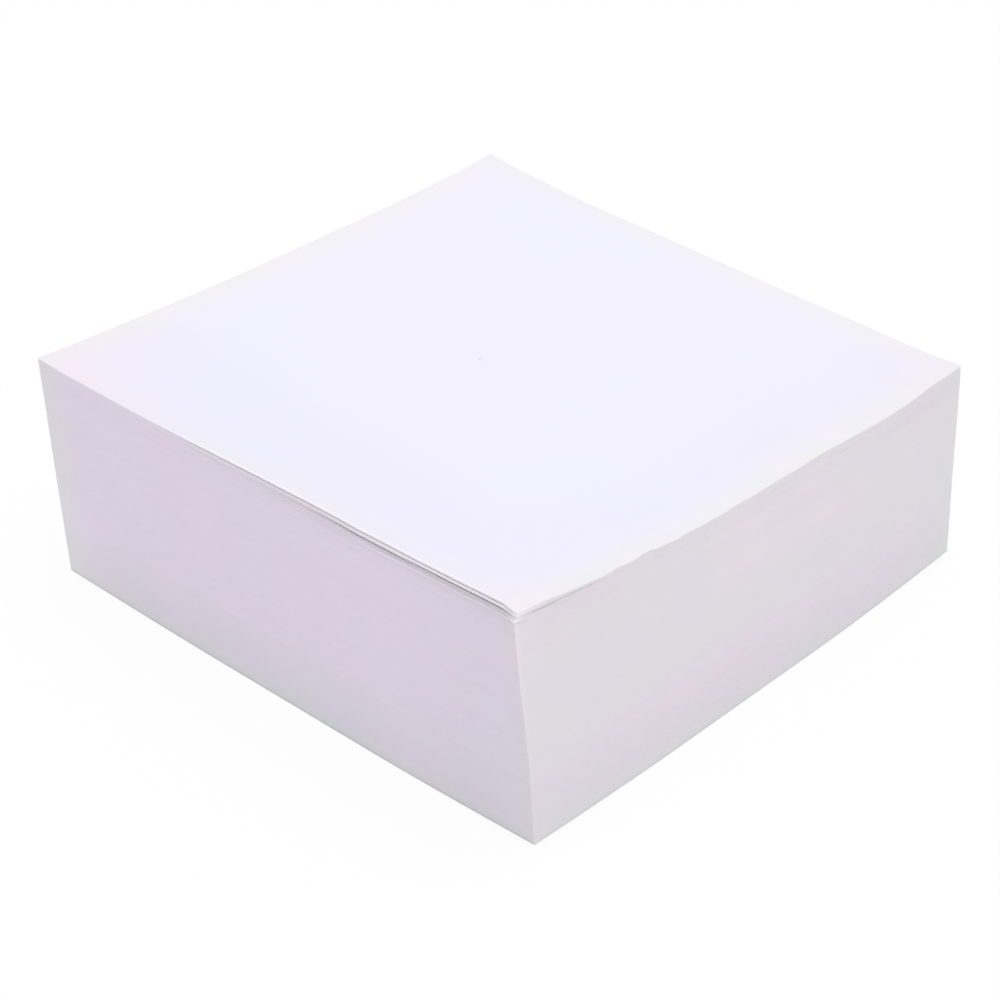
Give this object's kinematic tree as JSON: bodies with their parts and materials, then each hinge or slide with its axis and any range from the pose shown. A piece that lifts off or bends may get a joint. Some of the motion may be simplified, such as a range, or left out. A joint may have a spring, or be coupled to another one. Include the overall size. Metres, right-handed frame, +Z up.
{
  "type": "stack of memo paper",
  "caption": "Low square block of plain white memo paper, its corners slightly curled and its topmost sheets lying loose at one edge, to be written on and taken off one by one.",
  "frame": {"origin": "middle of the block's footprint, on the surface that it rests on", "axes": "+Z up through the sheets; -X out of the cut face whose top sheets stand apart (left face), -Y out of the cut face to its right; the two meet at the lifted front corner"},
  "size_m": [0.0934, 0.0916, 0.0382],
  "materials": {
    "cut_paper": "smooth guillotine-cut page edges, pale lilac white, matt",
    "sheet_paper": "uncoated bright white writing paper with a faint cool tint, matt"
  },
  "bodies": {
    "root": {"page_block": "cut_paper", "loose_sheet_01": "sheet_paper", "loose_sheet_02": "sheet_paper", "loose_sheet_03": "sheet_paper", "loose_sheet_04": "sheet_paper", "loose_sheet_05": "sheet_paper", "loose_sheet_06": "sheet_paper", "loose_sheet_07": "sheet_paper", "loose_sheet_08": "sheet_paper", "loose_sheet_09": "sheet_paper", "loose_sheet_10": "sheet_paper", "top_sheet": "sheet_paper"}
  },
  "joints": []
}
